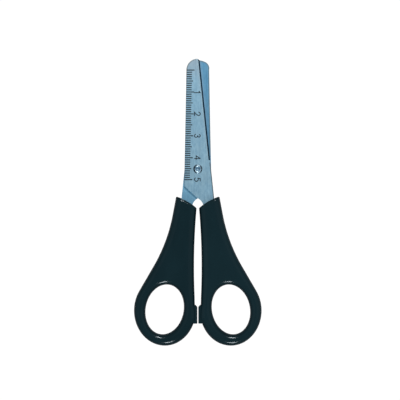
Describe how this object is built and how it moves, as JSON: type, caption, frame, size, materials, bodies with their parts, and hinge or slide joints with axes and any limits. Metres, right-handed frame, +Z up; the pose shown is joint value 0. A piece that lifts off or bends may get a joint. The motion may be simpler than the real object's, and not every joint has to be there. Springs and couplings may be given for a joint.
{
  "type": "school scissors",
  "caption": "Small left-handed scissors with blunt round tips, a centimetre scale on the upper blade, a riveted pivot and moulded plastic finger loops.",
  "frame": {"origin": "middle of the footprint, on the plane the handles rest on; the pivot is on the Y axis, 15.25 mm towards the tips", "axes": "+Y towards the blade tips, +Z up out of the blade with the scale, +X to the right when the tips point away"},
  "size_m": [0.0584, 0.131, 0.008],
  "materials": {
    "blade_steel": "fine satin, faint lengthwise grinding lines",
    "rear_blade_steel": "fine satin, faint lengthwise grinding lines",
    "right_handle_plastic": "moulded, semi-gloss, very dark teal",
    "left_handle_plastic": "moulded, semi-gloss, very dark teal",
    "rivet_steel": "bright, rolled",
    "scale_fill": "dark etched fill"
  },
  "bodies": {
    "rear_half": {"rear_blade": "rear_blade_steel", "left_handle": "left_handle_plastic", "pivot_rivet": "rivet_steel"},
    "front_half": {"front_blade": "blade_steel", "right_handle": "right_handle_plastic", "scale_marks": "scale_fill"}
  },
  "joints": [
    {"name": "blade_pivot", "type": "hinge", "parent": "rear_half", "child": "front_half", "pos_m": [0, 0.01525, 0.004], "axis": [0, 0, 1], "range_deg": [-0.25, 110]}
  ]
}
